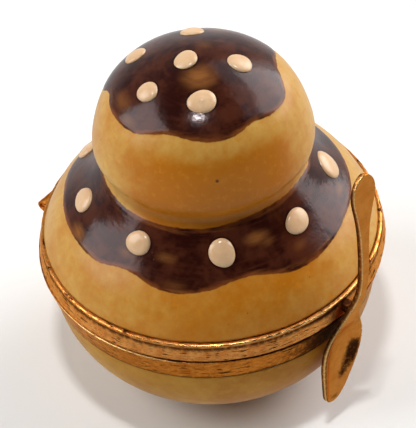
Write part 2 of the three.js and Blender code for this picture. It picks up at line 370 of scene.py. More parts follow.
# Where the brown wears thin: azimuth, height, how far it reaches in mm, and how strongly.
thinPatches = [
    (222, 33, 3, 0.85), (238, 33, 2.2, 0.2), (150, 29.6, 2.6, 0.5), (166, 28.8, 2, 0.5),
    (20, 33.2, 1.6, 0.3), (153, 9.2, 2.4, 0.95), (181, 10.9, 1.8, 0.45), (200, 11.7, 1.9, 0.6),
    (244, 13.1, 2.3, 0.9), (248, 12.3, 1.6, 0.4), (206, 9.2, 2.2, 0.25), (262, 10.4, 1.6, 0.3),
    (300, 10.2, 1.6, 0.5), (20, 30.6, 2.4, 0.5), (60, 9.8, 2.4, 0.6), (100, 11, 2, 0.5),
]
thinSquash = (0.85, 0.85, 2.2)  # they run round the lid more than down it


# Stores how far each point lies inside the painted icing, in mm, and raises it a little.
def paintIcing(piece):
    places = vertexPlaces(piece)
    radius = np.hypot(places[:, 0], places[:, 1])
    azimuth = azimuths(places)
    height = places[:, 2]
    reach = lidReach(height)
    cap = edgeReach(icing["capEdge"], azimuth) - reach
    outer = edgeReach(icing["collarOuter"], azimuth) - reach
    inner = reach - edgeReach(icing["collarInner"], azimuth)
    inside = np.maximum(cap, np.minimum(outer, inner))
    outside = radius > lidRadius(height) - lid["wall"] / 2
    far = icing["farthest"]
    inside = np.where(outside & (height > lid["outline"][-1][1]), inside, -far)
    storeValues(piece, "icing", np.clip(inside, -far, far))
    thin = np.zeros(len(places))
    for around, up, size, strength in thinPatches:
        away = np.linalg.norm((places - onLid(around, up)) * thinSquash, axis=1)
        thin = np.maximum(thin, strength * (1 - softStep(away, 0, size)))
    storeValues(piece, "thinPaint", thin)
    normals = np.zeros(len(places) * 3)
    piece.data.vertices.foreach_get("normal", normals)
    lift = icing["relief"] * softStep(inside, -0.1, 0.25)
    putVertices(piece, places + normals.reshape(-1, 3) * lift[:, None])


# Painted shade on the lid's and the bowl's yellow: deeper round the front, lighter high up.
paintedFrontShade = {
    "lid": {"front": 226, "span": 74, "lightFrom": 24.4, "lightTo": 29},
    "bowl": {"front": 275, "span": 110, "lightFrom": 0, "lightTo": 1},
    "belowBall": 0.54,
    "ballFrom": 13,
    "ballTo": 17,
    "lean": (-0.07, 0.3),  # how far it pushes the yellow to its deep tone
}


# Stores painted shade on the yellow: how far it leans to its deep tone, most round the front, less high up
# and at the sides.
def markPaintedFrontShade(piece, part):
    rows = paintedFrontShade[part]
    places = vertexPlaces(piece)
    turned = np.abs((azimuths(places) - rows["front"] + 180) % 360 - 180)
    onBall = softStep(places[:, 2], paintedFrontShade["ballFrom"], paintedFrontShade["ballTo"])
    depth = paintedFrontShade["belowBall"] + (1 - paintedFrontShade["belowBall"]) * onBall
    depth *= 1 - softStep(turned, rows["span"] * 0.3, rows["span"])
    storeValues(piece, "paintedFrontShade", depth * (1 - softStep(places[:, 2], rows["lightFrom"], rows["lightTo"])))


def makeLid():
    inner = movedIn(curveThrough(lid["outline"], 48, levelStart=True), lid["wall"])[:-1]
    rim = [
        (lid["rimRadius"], lid["outline"][-1][1]),
        (lid["rimRadius"], lid["rimLow"]),
        (lid["outline"][-1][0] - lid["wall"], lid["rimLow"]),
    ]
    outline = [*lidCurve, *rim, *inner[::-1]]
    piece = turnOutline("lidPorcelain", outline, lid["steps"])
    unevenSurface(piece, *lid["dents"])
    paintIcing(piece)
    markPaintedFrontShade(piece, "lid")
    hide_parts("lid_shell")
    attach(piece, "lid")
    return piece


lidPorcelain = makeLid()
print("lid turned and painted")


# Azimuth, height above the split, half width round the lid and down its slope, rise in mm, and
# how peaked each dot is.
creamDots = {
    "ball": [
        (45, 31.5, 1.75, 1.6, 0.55, 0), (102, 30.5, 1.7, 1.6, 0.6, 0),
        (145, 33.4, 1.75, 1.7, 0.5, 0), (304, 32.4, 1.7, 1.75, 0.55, 0),
        (162, 31.4, 1.55, 1.6, 0.65, 0.1), (223, 31.75, 2.0, 1.72, 0.65, 0.3),
    ],
    "collar": [
        (7, 11.2, 1.9, 1.75, 0.7, 0.1), (55, 10.4, 1.8, 1.75, 0.7, 0),
        (103, 9.6, 1.85, 1.6, 0.65, 0), (141, 11.2, 2.15, 1.8, 0.65, 0),
        (185, 12.35, 1.95, 1.75, 0.7, 0.15), (226, 12.4, 1.82, 2.1, 0.75, 0.2),
        (267, 12.45, 2.1, 1.78, 0.75, 0.1), (311, 11.8, 2.3, 2.3, 0.7, 0),
    ],
}
dotShape = {"fullness": 2.6, "peakWidth": 0.25, "slopeStep": 0.3, "farthest": 3}


# A drop of enamel: a sphere pressed flat, a little uneven, set on the lid and turned to its slope.
def makeDot(name, azimuth, height, around, along, rise, peak):
    bpy.ops.mesh.primitive_uv_sphere_add(segments=40, ring_count=20, radius=1)
    piece = bpy.context.object
    piece.name = name
    piece.data.name = name
    bpy.ops.object.shade_smooth()
    places = np.array([v.co for v in piece.data.vertices])
    angle = np.arctan2(places[:, 1], places[:, 0])
    flat = np.hypot(places[:, 0], places[:, 1])
    top = np.sign(places[:, 2]) * np.sqrt(np.clip(1 - flat**dotShape["fullness"], 0, 1))
    top += peak * bell(flat, 0, dotShape["peakWidth"]) * (places[:, 2] > 0)
    wobble = 1 + 0.03 * np.sin(2 * angle + azimuth) + 0.025 * np.sin(3 * angle + 2 * azimuth)
    drop = np.stack([places[:, 0] * along * wobble, places[:, 1] * around * wobble, top * rise], axis=1)
    step = dotShape["slopeStep"]
    low = min(height, lidCurve[0][1] - 2 * step) - step
    tilt = math.atan2(2 * step, lidRadius(low) - lidRadius(low + 2 * step))
    lean = np.array(((math.cos(tilt), 0, -math.sin(tilt)), (0, 1, 0), (math.sin(tilt), 0, math.cos(tilt))))
    a = math.radians(azimuth)
    swing = np.array(((math.cos(a), math.sin(a), 0), (-math.sin(a), math.cos(a), 0), (0, 0, 1)))
    putVertices(piece, (drop @ lean + (lidRadius(height), 0, height)) @ swing)
    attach(piece, "lid")
    return piece


# Stores how far each point lies from the nearest dot's rim, in mm.
def markDots(piece):
    places = vertexPlaces(piece)
    gaps = []
    for rows in creamDots.values():
        for azimuth, height, around, along, _, _ in rows:
            a = math.radians(azimuth)
            away = places - onLid(azimuth, height)
            sideways = away @ (-math.sin(a), math.cos(a), 0)
            downwards = np.sqrt(np.clip(np.sum(away**2, axis=1) - sideways**2, 0, None))
            gaps.append((np.hypot(sideways / around, downwards / along) - 1) * (around + along) / 2)
    far = dotShape["farthest"]
    storeValues(piece, "dotGap", np.clip(np.min(gaps, axis=0), -far, far))


dots = []
for place, rows in creamDots.items():
    for number, row in enumerate(rows, 1):
        dots.append(makeDot(f"{place}Dot{number}", *row))
markDots(lidPorcelain)
print("enamel dots set:", len(dots))


bowl = {
    "radius": 24.5,
    "top": -4.85,
    "depth": 19.65,
    "wall": 2.8,
    "floor": 3,
    "rimRadius": 23.9,
    "rimHigh": -0.95,
    "footEdge": 0.8,
    "footRing": 2.6,
    "recess": 0.6,
    "steps": 256,
}


# The quarter ellipse from the brim down to this height.
def bowlCurve(radius, depth, low, count):
    last = math.asin((bowl["top"] - low) / depth)
    angles = np.linspace(0, last, count + 1)
    return [(radius * math.cos(a), bowl["top"] - depth * math.sin(a)) for a in angles]


def makeBowl():
    ground = -split
    outside = bowlCurve(bowl["radius"], bowl["depth"], ground + bowl["footEdge"] * 0.45, 60)
    footRadius = outside[-1][0] - bowl["footEdge"]
    wall = bowl["wall"]
    inside = bowlCurve(bowl["radius"] - wall, bowl["depth"] - wall, ground + bowl["floor"], 24)
    ringInner = footRadius - bowl["footRing"]
    outline = [
        (0, ground + bowl["recess"]),
        (ringInner * 0.6, ground + bowl["recess"]),
        (ringInner - 0.5, ground + bowl["recess"] * 0.8),
        (ringInner, ground + 0.1),
        (ringInner + 0.3, ground),
        (footRadius - 0.3, ground),
        (footRadius + 0.25, ground + 0.05),
        *outside[::-1],
        (bowl["radius"] - 0.15, bowl["top"] + 0.1),
        (bowl["rimRadius"], bowl["top"] + 0.15),
        (bowl["rimRadius"], bowl["rimHigh"]),
        (bowl["radius"] - wall, bowl["rimHigh"]),
        *inside,
        (0, ground + bowl["floor"]),
    ]
    piece = turnOutline("bowlPorcelain", outline, bowl["steps"])
    markPaintedFrontShade(piece, "bowl")
    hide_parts("base_bowl")
    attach(piece, "base")
    return piece


bowlPorcelain = makeBowl()
print("bowl turned")


# Both rings as closed outlines of (radius, height above the split), with how dark they are by height (grime
# and painted shade at edges and creases), the ridge that is rubbed bright, with a painted highlight
# brightest round which azimuth, and the painted shadow beside the clasp.
bezels = {
    "lidBezel": {
        "outline": [
            (24.62, 2.6), (24.66, 2.75), (24.76, 2.84), (24.9, 2.87), (25.06, 2.85), (25.2, 2.8),
            (25.28, 2.73), (25.33, 2.62), (25.34, 2.48), (25.3, 2.32), (25.32, 2.16), (25.42, 1.98),
            (25.74, 0.5), (25.8, 0.4), (25.82, 0.28), (25.79, 0.18), (25.72, 0.15), (21.8, 0.15),
            (21.8, 0.6), (24.62, 0.65), (24.62, 2.6),
        ],
        "grimeAndShade": [
            (0.15, 1), (0.32, 0.1), (0.6, 0), (1.7, 0), (2.02, 0.75), (2.24, 1), (2.42, 0.5), (2.6, 0),
            (2.8, 0.15), (2.9, 0.4),
        ],
        "ridge": (25.26, 2.74),
        "claspShadowDepth": 0.5,
        "claspShadowSpan": 6,
        "aside": 0.09,
        "highlightAt": 242,
        "highlightSpan": 42,
    },
    "baseBezel": {
        "outline": [
            (24.2, -4.6), (24.5, -4.7), (24.68, -4.68), (24.77, -4.58), (24.81, -4.4), (25.82, -0.5),
            (25.87, -0.36), (25.86, -0.24), (25.78, -0.15), (21.8, -0.15), (21.8, -0.65), (24.2, -0.7),
            (24.2, -4.6),
        ],
        "grimeAndShade": [
            (-4.7, 1), (-4.45, 0.85), (-4.1, 0.1), (-3.7, 0), (-0.75, 0), (-0.55, 0.2), (-0.3, 0.1),
            (-0.15, 1),
        ],
        "ridge": (25.85, -0.3),
        "claspShadowDepth": 1.2,
        "claspShadowSpan": 19,
        "aside": -0.05,
        "highlightAt": 182,
        "highlightSpan": 34,
    },
}
bezelSteps = 400
longestStretch = 0.45
claspShade = 261  # azimuth, from +X
bezelAside = cameraView["azimuth"] + 60  # which way the rings are off centre, seen from the box
meetingFace = {"radius": 25.55, "height": 0.7, "grimeAndShade": 0.15}
ridgeWearAndHighlight = {"least": 0.35, "full": 0.1, "none": 0.38}
bezelDents = {"large": (4, 0.1), "small": (1.1, 0.06)}  # size and depth in mm


def splitStretches(outline):
    fine = [outline[0]]
    for start, end in zip(outline, outline[1:]):
        parts = max(1, round(math.dist(start, end) / longestStretch))
        for k in range(1, parts + 1):
            fine.append([a + (b - a) * k / parts for a, b in zip(start, end)])
    return fine


# The rings sit a little off centre, so one's edge shows at the front and the other's at the left.
def makeBezel(name, node, body):
    ring = bezels[name]
    piece = turnOutline(name, splitStretches(ring["outline"]), bezelSteps)
    places = vertexPlaces(piece)
    radius = np.hypot(places[:, 0], places[:, 1])
    height = places[:, 2]
    azimuth = azimuths(places)
    heights, amounts = zip(*ring["grimeAndShade"])
    # Painted shadow of the clasp: the ring darkens round the clasp's azimuth.
    shadowByClasp = ring["claspShadowDepth"] * bell(azimuth, claspShade, ring["claspShadowSpan"])
    # Grime and painted shade together: darker at the edges and creases by height, and beside the clasp.
    grimeAndShade = np.clip(np.interp(height, heights, amounts) + shadowByClasp, 0, 1)
    meeting = (radius < meetingFace["radius"]) & (np.abs(height) < meetingFace["height"])
    storeValues(piece, "grimeAndShade", np.where(meeting, meetingFace["grimeAndShade"], grimeAndShade))
    ridgeRadius, ridgeHeight = ring["ridge"]
    away = np.abs(radius - ridgeRadius) + np.abs(height - ridgeHeight)
    # Painted highlight: the rubbed ridge is paler round one azimuth, on top of its real wear all round.
    paleWearAndHighlight = bell(azimuth, ring["highlightAt"], ring["highlightSpan"])
    paleWearAndHighlight = ridgeWearAndHighlight["least"] + (1 - ridgeWearAndHighlight["least"]) * paleWearAndHighlight
    storeValues(piece, "rubbedAndHighlit", paleWearAndHighlight * (1 - softStep(away, ridgeWearAndHighlight["full"], ridgeWearAndHighlight["none"])))
    shift = towards(bezelAside, 0) * ring["aside"]
    putVertices(piece, places + np.array(shift))
    for size, depth in bezelDents.values():
        unevenSurface(piece, size, depth)
    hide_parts(node)
    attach(piece, body)
    return piece


lidBezel = makeBezel("lidBezel", "lid_bezel", "lid")
baseBezel = makeBezel("baseBezel", "base_bezel", "base")
print("bezels turned")


hinge = {
    "radius": 0.93,
    "halfLength": 10.2,
    "knuckles": 5,
    "endPlay": 0.2,
    "bore": 0.52,
    "boreDepth": 0.5,
    "pinRadius": 0.4,
    "pinHalf": 9.9,
    "edge": 0.12,
    "pinEdge": 0.25,
    "room": 1.22,
    "roomEnds": 0.3,
    "roomTall": 3,
    "roomDeep": 4,
    "webDepth": 0.93,
    "webRadius": 24.45,
    "webTop": 0.4,
}
hingeBack = hingeAt[1] / mm
hingeHeight = hingeAt[2] / mm
smoothBelow = math.radians(40)


def bevelEdges(piece, width, segments):
    soften = piece.modifiers.new("softEdges", "BEVEL")
    soften.width = width * mm
    soften.segments = segments
    soften.limit_method = "ANGLE"
    soften.angle_limit = math.radians(50)
    bpy.context.view_layer.objects.active = piece
    bpy.ops.object.modifier_apply(modifier=soften.name)


def settle(piece, name):
    bpy.ops.object.transform_apply(location=True, rotation=True, scale=True)
    piece.name = name
    piece.data.name = name
    return piece


# Selects the faces of a piece that face one way, and opens it in edit mode.
def selectFacing(piece, direction):
    bpy.ops.object.mode_set(mode="EDIT")
    bpy.ops.mesh.select_mode(type="FACE")
    bpy.ops.mesh.select_all(action="DESELECT")
    bpy.ops.object.mode_set(mode="OBJECT")
    for polygon in piece.data.polygons:
        polygon.select = polygon.normal.dot(Vector(direction)) > 0.99
    bpy.ops.object.mode_set(mode="EDIT")


# A round bar along the hinge's axis, with its middle at x.
def addBar(x, radius, length, vertices):
    bpy.ops.mesh.primitive_cylinder_add(
        vertices=vertices, radius=radius * mm, depth=length * mm,
        location=(x * mm, hingeAt[1], hingeAt[2]), rotation=(0, math.pi / 2, 0),
    )
    return bpy.context.object


# The room for the barrel, cut out of the base bezel and open to the top and the back.
def cutHingeNotch(ring):
    long = 2 * (hinge["halfLength"] + hinge["roomEnds"])
    barrel = addBar(0, hinge["room"], long, 32)
    tall = hinge["roomTall"] * mm
    deep = hinge["roomDeep"] * mm
    bpy.ops.mesh.primitive_cube_add(
        size=1, location=(0, hingeAt[1] - hinge["room"] * mm + deep / 2, hingeAt[2] + tall / 2),
        scale=(long * mm, deep, tall),
    )
    slot = bpy.context.object
    for cutter in (barrel, slot):
        cut = ring.modifiers.new("notch", "BOOLEAN")
        cut.operation = "DIFFERENCE"
        cut.solver = "EXACT"
        cut.object = cutter
        bpy.context.view_layer.objects.active = ring
        bpy.ops.object.modifier_apply(modifier=cut.name)
        bpy.data.objects.remove(cutter)


def makeKnuckle(number, x, length, body):
    piece = settle(addBar(x, hinge["radius"], length, 40), f"hingeKnuckle{number}")
    for way in (1, -1):
        selectFacing(piece, (way, 0, 0))
        bpy.ops.mesh.inset(thickness=(hinge["radius"] - hinge["bore"]) * mm)
        inwards = (-way * hinge["boreDepth"] * mm, 0, 0)
        bpy.ops.mesh.extrude_region_move(TRANSFORM_OT_translate={"value": inwards})
        bpy.ops.object.mode_set(mode="OBJECT")
    bevelEdges(piece, hinge["edge"], 2)
    bpy.ops.object.shade_smooth_by_angle(angle=smoothBelow)
    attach(piece, body)
    return piece


# The plate that ties a knuckle to its ring: it hangs from the lid's, and stands out from the bowl's.
def makeWeb(number, x, length, body):
    if body == "lid":
        reach = hingeBack - hinge["webDepth"]
        low, high = hingeHeight, split + hinge["webTop"]
    else:
        reach = math.sqrt(hinge["webRadius"] ** 2 - (abs(x) - length / 2) ** 2)
        low, high = hingeHeight - hinge["webDepth"], hingeHeight
    bpy.ops.mesh.primitive_cube_add(
        size=1,
        location=(x * mm, (reach + hingeBack) / 2 * mm, (low + high) / 2 * mm),
        scale=(length * mm, (hingeBack - reach) * mm, (high - low) * mm),
    )
    piece = settle(bpy.context.object, f"hingeWeb{number}")
    if body == "base":
        outer = math.sqrt(hinge["webRadius"] ** 2 - (abs(x) + length / 2) ** 2)
        close = 0.01 * mm
        for vertex in piece.data.vertices:
            if vertex.co.y < hingeAt[1] - close and abs(vertex.co.x) > abs(x) * mm + close:
                vertex.co.y = outer * mm
    bevelEdges(piece, hinge["edge"] / 2, 2)
    bpy.ops.object.shade_smooth_by_angle(angle=smoothBelow)
    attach(piece, body)
    return piece


def makeHinge():
    made = []
    pitch = 2 * hinge["halfLength"] / hinge["knuckles"]
    for k in range(hinge["knuckles"]):
        x = -hinge["halfLength"] + pitch * (k + 0.5)
        length = pitch - hinge["endPlay"]
        body = "lid" if k % 2 else "base"
        made.append(makeKnuckle(k + 1, x, length, body))
        made.append(makeWeb(k + 1, x, length, body))
    pin = settle(addBar(0, hinge["pinRadius"], 2 * hinge["pinHalf"], 24), "hingePin")
    bevelEdges(pin, hinge["pinEdge"], 3)
    bpy.ops.object.shade_smooth_by_angle(angle=smoothBelow)
    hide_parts("hinge_pin")
    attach(pin, "base")
    return [*made, pin]


cutHingeNotch(baseBezel)
hingePieces = makeHinge()
print("hinge made")


# The clasp's outer face as (distance from the axis, way along the clasp from the split), and its half
# width by that way: tip, egg-shaped bowl, thin shank and rounded head.
spoon = {
    "line": [
        (25.8, -16.9), (26.4, -10), (26.6, -5), (26.95, -1.5), (27.8, 2), (28.6, 5), (28.7, 9), (28, 14),
        (27.2, 19.5), (26.6, 24.92),
    ],
    "halfWidths": [
        (-16.9, 0.15), (-16.75, 0.7), (-16.4, 1.15), (-15.8, 1.6), (-14.5, 2.15), (-12.5, 2.75),
        (-10.2, 3.35), (-8, 3.75), (-5.8, 3.85), (-3.6, 3.45), (-2, 2.75), (-0.6, 1.95), (0.8, 1.35),
        (2.4, 0.88), (4.5, 0.62), (9, 0.62), (14, 0.75), (16.5, 1), (19, 1.55), (21, 2.05),
        (22.5, 2.08), (23.7, 1.65), (24.4, 1.1), (24.8, 0.55), (24.92, 0.15),
    ],
    "azimuth": -2,
    "lean": 9,
    "offset": -1.3,
    "turn": 5,
    "thickness": [(-16.9, 0.55), (-1, 0.6), (4, 0.92), (10, 0.92), (17, 0.75), (25.3, 0.6)],
    "hollow": 1.1,
    "hollowFrom": -16.3,
    "hollowTo": -1.4,
    "rim": 0.88,
    "crown": 0.1,
    "crownFrom": 8,
    "crownTo": 14,
    "across": 14,
    "rows": 96,
    "closerAtEnds": 0.13,
    "creaseAngle": 45,
    "crease": 0.55,
    "dents": (2.5, 0.05),  # size and depth in mm
}
# Marks on the clasp's outer face, by way along it and by place across it from -1 to 1.
spoonMarks = {
    "longBlot": {"along": -8.2, "long": 2.6, "power": 4, "across": 0.73, "wide": 0.25, "depth": 1.5},
    "lowBlot": {"along": -12, "long": 1.6, "power": 2, "across": 0.55, "wide": 0.2, "depth": 1},
    "paintedRimShade": {"across": -0.857, "wide": 0.06, "depth": 0.9},
    "paintedHighlightLine": {"across": -0.714, "wide": 0.06, "depth": 0.85},
    "linesBelow": -2.5,
    "paintedNeckShade": {"along": -1.2, "long": 2.2, "depth": 0.35},
    "leftWall": {"face": 0.6, "back": 1},
    "leftRim": 1,
    "rightRim": 0.75,
    "edge": 0.99,
}


# How far in the face is pressed at each way along (t) and across (u, from -1 to 1).
def spoonPress(t, u):
    middle = (spoon["hollowFrom"] + spoon["hollowTo"]) / 2
    length = (spoon["hollowTo"] - spoon["hollowFrom"]) / 2
    along = np.clip(1 - ((t - middle) / length) ** 2, 0, 1)
    sideways = np.clip(1 - (u / spoon["rim"]) ** 2, 0, 1)
    crown = spoon["crown"] * (1 - u**2) * softStep(t, spoon["crownFrom"], spoon["crownTo"])
    return spoon["hollow"] * np.sqrt(along) * softStep(sideways, 0, 1) - crown


# Stores where the clasp is darkened and where it is lightened: tarnish blots, a painted shade line inside
# the left rim, a darker left wall, painted shade at the neck, and rubbed rims with a painted highlight
# line.
def markSpoon(piece, t, u, back):
    marks = spoonMarks
    face = back < 0.5
    left = u < -marks["edge"]
    right = u > marks["edge"]
    blots = sum(
        blot["depth"]
        * bell(t, blot["along"], blot["long"], blot["power"])
        * bell(u, blot["across"], blot["wide"])
        for blot in (marks["longBlot"], marks["lowBlot"])
    )
    # A painted shade line just inside the left rim, and a painted highlight line beside it.
    paintedRimShade, line = (
        mark["depth"] * bell(u, mark["across"], mark["wide"]) * (t < marks["linesBelow"])
        for mark in (marks["paintedRimShade"], marks["paintedHighlightLine"])
    )
    wall = np.where(left, np.where(face, marks["leftWall"]["face"], marks["leftWall"]["back"]), 0)
    # Painted shade: the clasp darkens in a band at its neck.
    paintedNeckShade = marks["paintedNeckShade"]["depth"] * bell(t, marks["paintedNeckShade"]["along"], marks["paintedNeckShade"]["long"])
    grimeAndShade = np.maximum(np.maximum(blots, paintedRimShade) * face, wall) + paintedNeckShade
    storeValues(piece, "grimeAndShade", np.clip(grimeAndShade, 0, 1))
    # Rubbed rims, the left one more: wear and painted highlight.
    rim = np.where(left, marks["leftRim"], 0) + np.where(right, marks["rightRim"], 0)
    storeValues(piece, "rubbedAndHighlit", np.where(face, np.maximum(rim, line), 0))


def makeSpoon():
    bpy.ops.mesh.primitive_grid_add(x_subdivisions=spoon["across"], y_subdivisions=spoon["rows"], size=2)
    piece = bpy.context.object
    bpy.ops.object.mode_set(mode="EDIT")
    bpy.ops.mesh.select_all(action="SELECT")
    bpy.ops.mesh.extrude_region_move(TRANSFORM_OT_translate={"value": (0, 0, -1)})
    bpy.ops.object.mode_set(mode="OBJECT")
    places = np.array([v.co for v in piece.data.vertices])
    u = places[:, 0]
    v = (places[:, 1] + 1) / 2
    v = v - spoon["closerAtEnds"] * np.sin(2 * np.pi * v)
    back = -places[:, 2]
    t = spoon["line"][0][1] + (spoon["line"][-1][1] - spoon["line"][0][1]) * v
    line = curveThrough(spoon["line"], 300)
    widths = curveThrough(spoon["halfWidths"], 500)
    reach = np.interp(t, line[:, 1], line[:, 0])
    half = np.interp(t, widths[:, 0], widths[:, 1])
    ways, thicknesses = zip(*spoon["thickness"])
    thickness = np.interp(t, ways, thicknesses)
    lean = math.radians(spoon["lean"])
    side = spoon["offset"] + t * math.sin(lean) + half * u * math.cos(lean)
    height = t * math.cos(lean) - half * u * math.sin(lean)
    out = reach - spoonPress(t, u) - back * thickness + half * u * math.sin(math.radians(spoon["turn"]))
    a = math.radians(spoon["azimuth"])
    x = side * math.cos(a) + out * math.sin(a)
    y = side * math.sin(a) - out * math.cos(a)
    putVertices(piece, np.stack([x, y, height], axis=1))
    markSpoon(piece, t, u, back)
    bpy.ops.object.mode_set(mode="EDIT")
    bpy.ops.mesh.select_all(action="SELECT")
    bpy.ops.mesh.normals_make_consistent(inside=False)
    bpy.ops.mesh.select_mode(type="EDGE")
    bpy.ops.mesh.select_all(action="DESELECT")
    bpy.ops.mesh.edges_select_sharp(sharpness=math.radians(spoon["creaseAngle"]))
    bpy.ops.transform.edge_crease(value=spoon["crease"])
    bpy.ops.object.mode_set(mode="OBJECT")
    smooth = piece.modifiers.new("smooth", "SUBSURF")
    smooth.levels = smooth.render_levels = 2
    bpy.ops.object.modifier_apply(modifier=smooth.name)
    unevenSurface(piece, *spoon["dents"])
    bpy.ops.object.shade_smooth()
    piece.name = "spoonClasp"
    piece.data.name = "spoonClasp"
    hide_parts("spoon_clasp")
    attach(piece, "lid")
    return piece


lug = {"width": 1.5, "low": 0.5, "high": 2.3, "inner": 25.4, "outer": 27.2, "edge": 0.4, "side": -0.7}


def makeLug():
    a = math.radians(spoon["azimuth"])
    out = (lug["inner"] + lug["outer"]) / 2
    side = lug["side"]
    bpy.ops.mesh.primitive_cube_add(
        size=1,
        location=(
            (side * math.cos(a) + out * math.sin(a)) * mm,
            (side * math.sin(a) - out * math.cos(a)) * mm,
            (split + (lug["low"] + lug["high"]) / 2) * mm,
        ),
        rotation=(0, 0, a),
        scale=(lug["width"] * mm, (lug["outer"] - lug["inner"]) * mm, (lug["high"] - lug["low"]) * mm),
    )
    piece = settle(bpy.context.object, "claspLug")
    bevelEdges(piece, lug["edge"], 3)
    # The lug is darkened all over: grime, and painted shade under the clasp's neck.
    storeValues(piece, "grimeAndShade", np.full(len(piece.data.vertices), 1.0))
    bpy.ops.object.shade_smooth_by_angle(angle=smoothBelow)
    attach(piece, "lid")
    return piece


spoonClasp = makeSpoon()
claspLug = makeLug()
print("spoon clasp made")


# ---- finishes ----


def newGroup(name, inputs, outputs):
    tree = bpy.data.node_groups.new(name, "ShaderNodeTree")
    for socket, kind in inputs.items():
        tree.interface.new_socket(name=socket, in_out="INPUT", socket_type="NodeSocket" + kind)
    for socket, kind in outputs.items():
        tree.interface.new_socket(name=socket, in_out="OUTPUT", socket_type="NodeSocket" + kind)
    return tree, tree.nodes.new("NodeGroupInput"), tree.nodes.new("NodeGroupOutput")


# Hand-laid colour that clouds between a light and a deep tone.
def makeCloudyColour():
    tree, given, out = newGroup(
        "cloudyColour",
        {"Coordinates": "Vector", "Scale": "Float", "Light": "Color", "Deep": "Color", "Lean": "Float"},
        {"Color": "Color"},
    )
    large = noiseIn(tree, given.outputs["Coordinates"], given.outputs["Scale"], 3.0, 0.55)
    fineScale = math2(tree, "MULTIPLY", given.outputs["Scale"], 5.0)
    fine = noiseIn(tree, given.outputs["Coordinates"], fineScale, 4.0, 0.6)
    mixed = math2(tree, "ADD", math2(tree, "MULTIPLY", large, 0.62), math2(tree, "MULTIPLY", fine, 0.38))
    leaned = math2(tree, "ADD", mixed, given.outputs["Lean"])
    share = between(tree, leaned, 0.18, 0.82)
    tree.links.new(blend(tree, share, given.outputs["Light"], given.outputs["Deep"]), out.inputs["Color"])
    return tree


# Pinholes and dark specks, here and there in a glaze.
def makeGlazeFlaws():
    tree, given, out = newGroup(
        "glazeFlaws",
        {"Coordinates": "Vector", "Scale": "Float", "Share": "Float"},
        {"Specks": "Float", "Height": "Float"},
    )
    cells = addNode(
        tree, "ShaderNodeTexVoronoi",
        {"Vector": given.outputs["Coordinates"], "Scale": given.outputs["Scale"], "Randomness": 1.0},
    )
    near = between(tree, cells.outputs["Distance"], 0.035, 0.11, 1.0, 0.0)
    pick = addNode(tree, "ShaderNodeSeparateColor", {"Color": cells.outputs["Color"]}).outputs[0]
    chosen = math2(tree, "LESS_THAN", pick, given.outputs["Share"])
    specks = math2(tree, "MULTIPLY", near, chosen)
    ripple = noiseIn(tree, given.outputs["Coordinates"], 0.9, 2.0)
    tree.links.new(specks, out.inputs["Specks"])
    tree.links.new(math2(tree, "SUBTRACT", ripple, specks), out.inputs["Height"])
    return tree


# Worn gilt: colour clouds, dark strokes that run round the box, fine grain, darkening where grime gathers
# and where shade is painted, and pale flecks on rubbed edges, partly wear and partly painted highlight.
def makeWornGilt():
    tree, given, out = newGroup(
        "wornGilt",
        {
            "Coordinates": "Vector", "Light": "Color", "Deep": "Color", "TarnishAndShade": "Color",
            "Bright": "Color", "Strokes": "Float", "GrimeAndShade": "Float", "RubbedAndHighlit": "Float",
        },
        {"Color": "Color", "Roughness": "Float", "Height": "Float"},
    )
    place = given.outputs["Coordinates"]
    cloud = between(tree, noiseIn(tree, place, 0.6, 4.0, 0.65), 0.36, 0.64)
    body = blend(tree, cloud, given.outputs["Light"], given.outputs["Deep"])
    strokes = noiseIn(tree, stretched(tree, place, (0.5, 0.5, 3.8)), 1.0, 2.5, 0.6)
    patches = between(tree, noiseIn(tree, place, 0.3, 2.0), 0.34, 0.52)
    dark = math2(tree, "MULTIPLY", between(tree, strokes, 0.57, 0.62), patches)
    fine = noiseIn(tree, stretched(tree, place, (1.1, 1.1, 7.0)), 1.0, 4.0, 0.75)
    fineDark = math2(tree, "MULTIPLY", between(tree, fine, 0.5, 0.66), 0.5)
    dark = math2(tree, "MULTIPLY", math2(tree, "MAXIMUM", dark, fineDark), given.outputs["Strokes"])
    patchy = noiseIn(tree, place, 1.7, 3.0, 0.6)
    uneven = math2(tree, "ADD", given.outputs["GrimeAndShade"], between(tree, patchy, 0.3, 0.7, -0.35, 0.35))
    grimeAndShade = math2(tree, "MULTIPLY", between(tree, uneven, 0.1, 0.95), given.outputs["GrimeAndShade"])
    dark = math2(tree, "MAXIMUM", dark, grimeAndShade)
    # Pale flecks on rubbed edges: worn gilt, and painted highlight.
    flecks = between(tree, given.outputs["RubbedAndHighlit"], 0.5, 0.95)
    flecks = math2(tree, "MULTIPLY", flecks, between(tree, fine, 0.36, 0.54, 0.3, 1.0))
    body = blend(tree, dark, body, given.outputs["TarnishAndShade"])
    tree.links.new(blend(tree, flecks, body, given.outputs["Bright"]), out.inputs["Color"])
    rough = between(tree, fine, 0.3, 0.7, 0.26, 0.4)
    rough = math2(tree, "ADD", rough, math2(tree, "MULTIPLY", dark, 0.25))
    rough = math2(tree, "SUBTRACT", rough, math2(tree, "MULTIPLY", given.outputs["RubbedAndHighlit"], 0.1))
    tree.links.new(rough, out.inputs["Roughness"])
    height = math2(tree, "SUBTRACT", math2(tree, "MULTIPLY", fine, 0.35), dark)
    tree.links.new(height, out.inputs["Height"])
    return tree


cloudyColour = makeCloudyColour()
glazeFlaws = makeGlazeFlaws()
wornGilt = makeWornGilt()


def newFinish(name):
    finish = bpy.data.materials.new(name)
    finish.use_nodes = True
    tree = finish.node_tree
    shader = tree.nodes["Principled BSDF"]
    place = addNode(tree, "ShaderNodeTexCoord").outputs["Object"]
    inMillimetres = stretched(tree, place, (1 / mm, 1 / mm, 1 / mm))
    return finish, tree, shader, inMillimetres


def useGroup(tree, group, inputs):
    return addNode(tree, "ShaderNodeGroup", inputs, node_tree=group)


